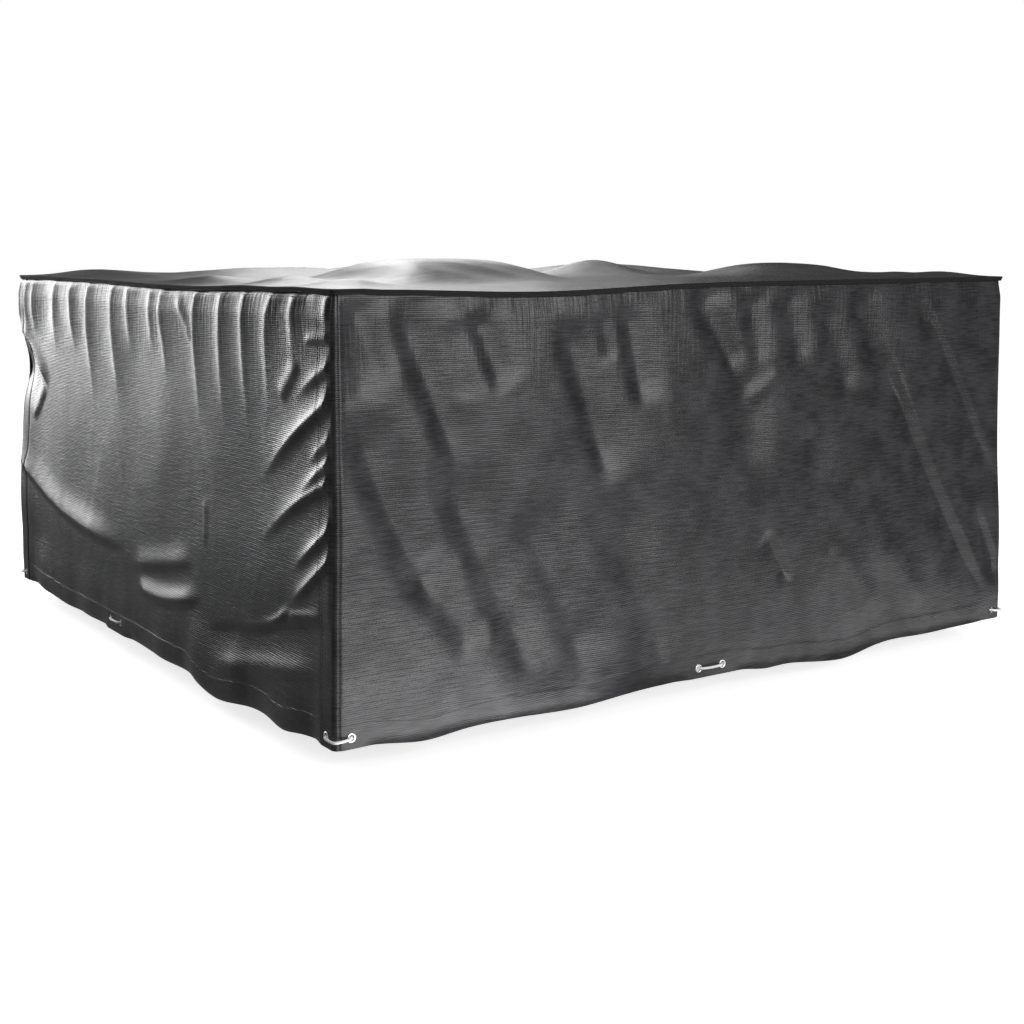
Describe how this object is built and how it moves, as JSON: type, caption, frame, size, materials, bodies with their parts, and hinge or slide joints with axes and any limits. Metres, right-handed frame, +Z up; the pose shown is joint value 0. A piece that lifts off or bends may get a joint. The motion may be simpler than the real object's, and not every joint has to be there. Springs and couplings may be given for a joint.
{
  "type": "patio furniture cover",
  "caption": "Box-shaped fitted rain cover in glossy dark woven cloth, open below, with eyelet pairs and short rope ties above the hem.",
  "frame": {"origin": "plan centre of the cover, on the underside of the top panel, level with the furniture top that holds the cover up", "axes": "+Z up; the front panel faces -Y and the left panel faces -X; the front and back panels are the ones whose ends wrap round the corners"},
  "size_m": [2.0306, 2.0298, 0.9802],
  "materials": {
    "cloth": "glossy coated tape weave",
    "eyelet": "bright stamped",
    "rope": "braided, matt"
  },
  "bodies": {
    "root": {"top_panel": "cloth", "front_panel": "cloth", "back_panel": "cloth", "left_panel": "cloth", "right_panel": "cloth", "eyelet_front_a": "eyelet", "eyelet_front_b": "eyelet", "eyelet_right_a": "eyelet", "eyelet_right_b": "eyelet", "eyelet_back_a": "eyelet", "eyelet_back_b": "eyelet", "eyelet_left_a": "eyelet", "eyelet_left_b": "eyelet", "eyelet_front_left_corner_a": "eyelet", "eyelet_front_left_corner_b": "eyelet", "eyelet_front_right_corner_a": "eyelet", "eyelet_front_right_corner_b": "eyelet", "eyelet_back_left_corner_a": "eyelet", "eyelet_back_left_corner_b": "eyelet", "eyelet_back_right_corner_a": "eyelet", "eyelet_back_right_corner_b": "eyelet", "tie_front": "rope", "tie_right": "rope", "tie_back": "rope", "tie_left": "rope", "tie_front_left_corner": "rope", "tie_front_right_corner": "rope", "tie_back_left_corner": "rope", "tie_back_right_corner": "rope"}
  },
  "joints": []
}
